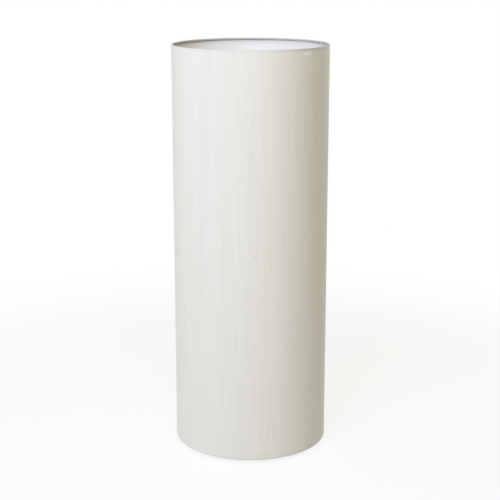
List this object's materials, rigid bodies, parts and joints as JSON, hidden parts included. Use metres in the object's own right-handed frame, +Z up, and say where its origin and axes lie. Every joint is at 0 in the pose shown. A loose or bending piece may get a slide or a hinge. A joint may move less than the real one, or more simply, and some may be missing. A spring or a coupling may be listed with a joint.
{
  "type": "column floor lamp",
  "caption": "Tall ivory silk cylinder floor lamp, open at the top. The shade lifts off a round base plate whose stem carries screw-in bulbs.",
  "frame": {"origin": "on the floor, under the middle of the column", "axes": "+Z up, +Y towards the back, where the mains lead comes in; +X to the right"},
  "size_m": [0.38, 0.38, 1],
  "materials": {
    "silk": "ivory silk dupion with slubs down its length",
    "lining": "white translucent shade lining",
    "white_wire": "white coated steel wire",
    "ivory_enamel": "satin ivory powder coat",
    "nickel": "satin nickel plate",
    "zinc": "bright zinc plate",
    "brass": "plain brass",
    "rubber": "moulded black rubber",
    "holder_plastic": "white thermoplastic",
    "ceramic": "glazed white ceramic",
    "block_plastic": "natural nylon",
    "flex_sheath": "white PVC sheath",
    "earth_sheath": "green and yellow PVC",
    "bulb_alloy": "bright aluminium",
    "tip_solder": "dull solder",
    "black_glass": "black vitrite glass",
    "bulb_plastic": "white moulded housing",
    "opal": "opal polycarbonate",
    "board": "white solder mask on aluminium"
  },
  "bodies": {
    "stand": {"base_plate": "ivory_enamel", "base_feet": "rubber", "foot_screws": "zinc", "base_cover": "ivory_enamel", "stem_tube": "nickel", "stem_lower_plug": "zinc", "stem_upper_plug": "zinc", "lower_nipple": "zinc", "upper_nipple": "zinc", "arm_nipple": "zinc", "nipple_washers": "zinc", "nipple_nuts": "zinc", "lamp_arm": "nickel", "grub_screws": "zinc", "cover_collar": "nickel", "arm_lower_collar": "nickel", "arm_upper_collar": "nickel", "terminal_block": "block_plastic", "terminal_screws": "brass", "block_screw": "zinc", "cord_clamp": "block_plastic", "clamp_screws": "zinc", "cable_grommet": "rubber", "earth_tag": "brass", "earth_screw": "zinc", "earth_wire": "earth_sheath", "upper_flex": "flex_sheath", "lower_flex": "flex_sheath", "upper_holder_cap": "holder_plastic", "upper_holder_insert": "ceramic", "upper_holder_skirt": "holder_plastic", "upper_holder_shell": "brass", "upper_holder_contact": "brass", "upper_holder_screws": "brass", "lower_holder_cap": "holder_plastic", "lower_holder_insert": "ceramic", "lower_holder_skirt": "holder_plastic", "lower_holder_shell": "brass", "lower_holder_contact": "brass", "lower_holder_screws": "brass"},
    "shade": {"shade_silk": "silk", "shade_lining": "lining", "shade_seam": "silk", "shade_top_ring": "white_wire", "shade_bottom_ring": "white_wire", "shade_spokes": "white_wire", "shade_hub_ring": "white_wire"},
    "upper_bulb_contact": {"upper_bulb_tip": "tip_solder"},
    "upper_bulb": {"upper_bulb_insulator": "black_glass", "upper_bulb_cap": "bulb_alloy", "upper_bulb_housing": "bulb_plastic", "upper_bulb_board": "board", "upper_bulb_globe": "opal"},
    "lower_bulb_contact": {"lower_bulb_tip": "tip_solder"},
    "lower_bulb": {"lower_bulb_insulator": "black_glass", "lower_bulb_cap": "bulb_alloy", "lower_bulb_housing": "bulb_plastic", "lower_bulb_board": "board", "lower_bulb_globe": "opal"}
  },
  "joints": [
    {"name": "shade_lift", "type": "slide", "parent": "stand", "child": "shade", "axis": [0, 0, 1], "range_m": [0, 0.72]},
    {"name": "upper_bulb_rise", "type": "slide", "parent": "stand", "child": "upper_bulb_contact", "axis": [0, 0, 1], "range_m": [0, 0.0146]},
    {"name": "upper_bulb_turn", "type": "hinge", "parent": "upper_bulb_contact", "child": "upper_bulb", "pos_m": [0, 0, 0.6], "axis": [0, 0, 1], "range_deg": [0, 1440]},
    {"name": "lower_bulb_rise", "type": "slide", "parent": "stand", "child": "lower_bulb_contact", "axis": [0, 0, 1], "range_m": [0, 0.0146]},
    {"name": "lower_bulb_turn", "type": "hinge", "parent": "lower_bulb_contact", "child": "lower_bulb", "pos_m": [-0.048, 0, 0.25], "axis": [0, 0, 1], "range_deg": [0, 1440]}
  ],
  "couplings": [
    {"joint": "upper_bulb_rise", "follows": "upper_bulb_turn", "m_per_rad": 0.0005775},
    {"joint": "lower_bulb_rise", "follows": "lower_bulb_turn", "m_per_rad": 0.0005775}
  ]
}
